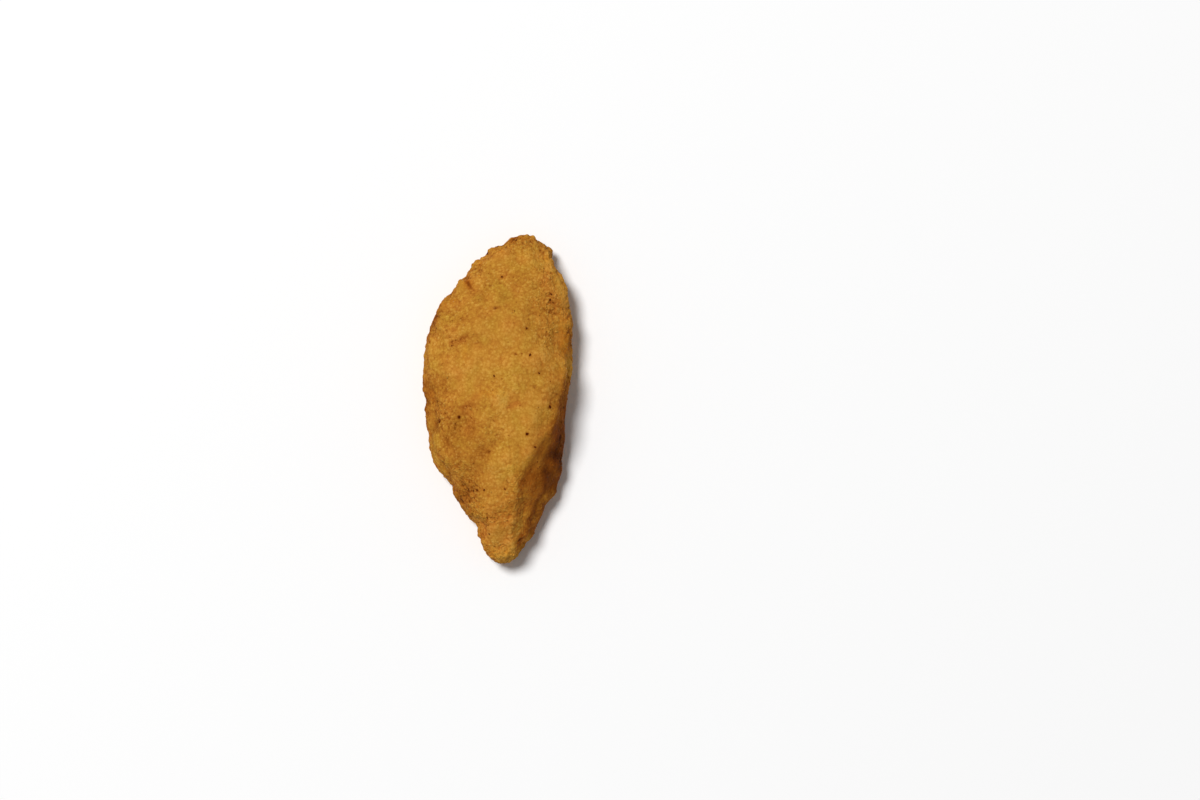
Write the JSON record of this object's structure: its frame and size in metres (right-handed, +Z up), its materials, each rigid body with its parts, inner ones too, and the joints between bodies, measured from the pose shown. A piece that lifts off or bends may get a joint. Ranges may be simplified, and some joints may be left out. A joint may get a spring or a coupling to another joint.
{
  "type": "chicken tender",
  "caption": "Battered and fried chicken tender: a spindle-shaped strip with a bumpy golden crust, a ridge with a steep flank, and a flat side to lie on.",
  "frame": {"origin": "on the surface that the strip lies on, under the middle of its bounding box", "axes": "+Z up, +Y along the strip towards its broad tip, +X across it towards the ridge's steep flank"},
  "size_m": [0.0504, 0.1098, 0.0257],
  "materials": {
    "crust": "matte golden-brown fried batter with a fine grain and dark specks"
  },
  "bodies": {
    "root": {"tender": "crust"}
  },
  "joints": []
}
